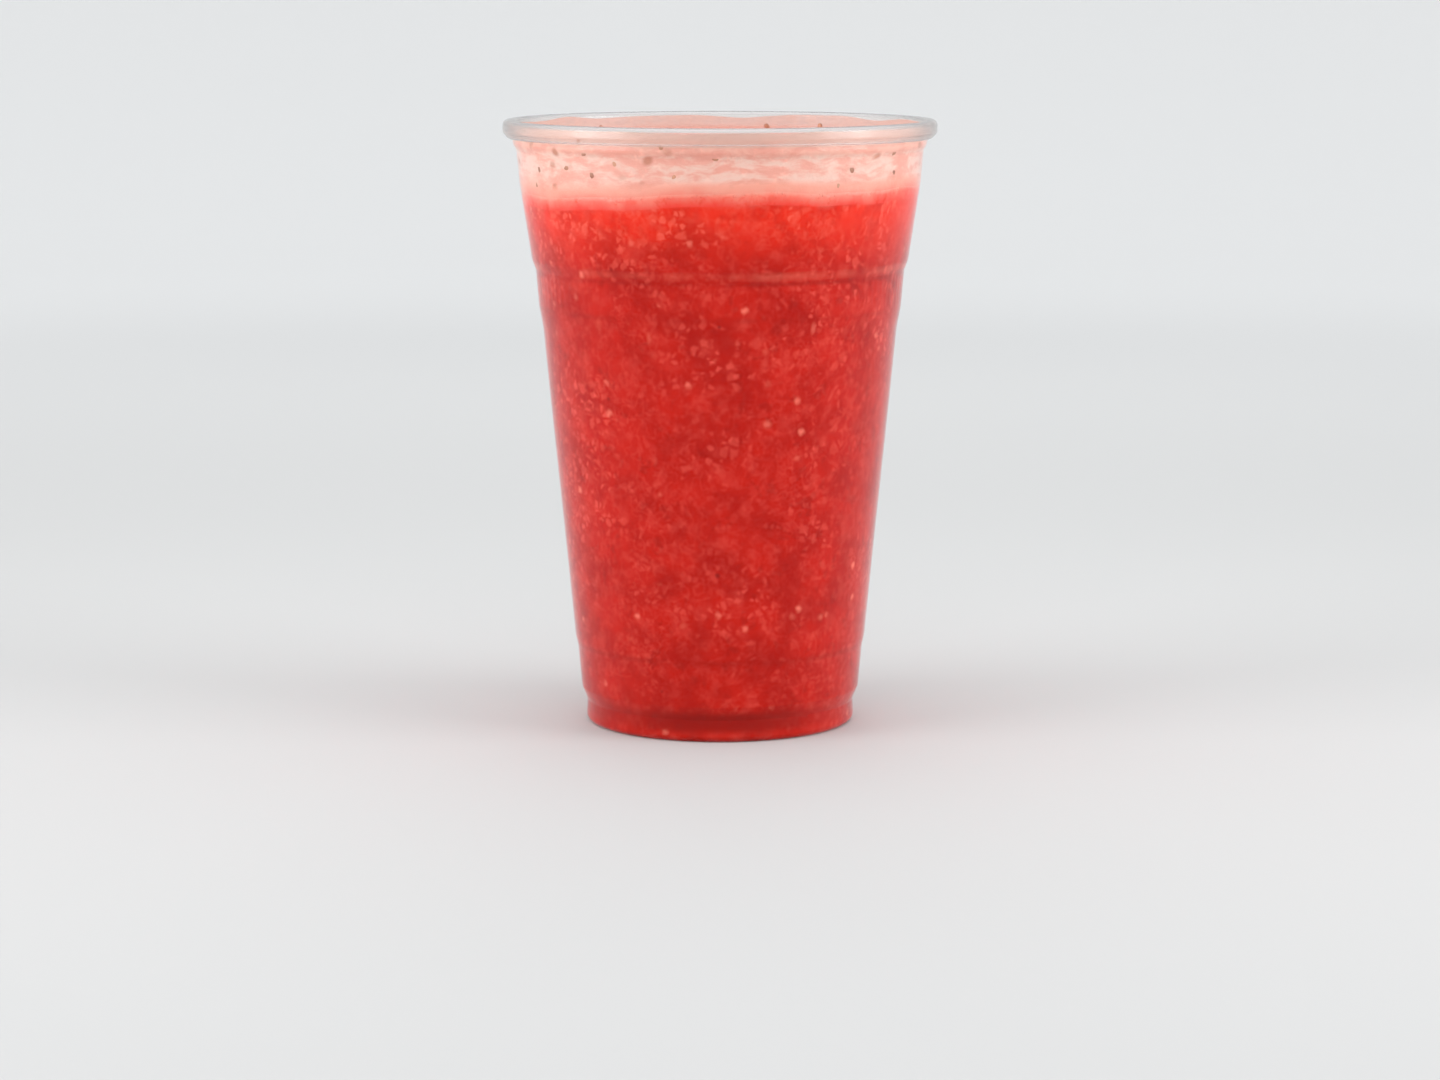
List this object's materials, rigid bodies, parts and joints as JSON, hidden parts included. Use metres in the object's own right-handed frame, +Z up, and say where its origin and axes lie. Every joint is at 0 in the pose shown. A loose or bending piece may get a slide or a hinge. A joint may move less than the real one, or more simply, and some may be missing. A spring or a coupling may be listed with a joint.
{
  "type": "blended strawberry drink in a clear plastic cup",
  "caption": "Clear tapered plastic cold cup with a rolled rim and pushed-up base, filled with a red blended strawberry ice drink.",
  "frame": {"origin": "centre of the circle that the cup stands on, at the surface that it stands on", "axes": "+Z up along the cup's axis, out of its mouth; +X to the right and -Y towards the viewer in the front view"},
  "size_m": [0.098, 0.098, 0.1373],
  "materials": {
    "clear_plastic": "thin clear glossy PET, slightly grey at grazing edges",
    "blended_ice": "wet red strawberry slush with fine paler ice grains and a few dark specks",
    "froth": "pale salmon pink foam with fine bubbles",
    "drink_smear": "thin translucent pink smear with dark strawberry seeds"
  },
  "bodies": {
    "root": {"cup": "clear_plastic", "drink": "blended_ice", "froth": "froth", "residue_film": "drink_smear"}
  },
  "joints": []
}
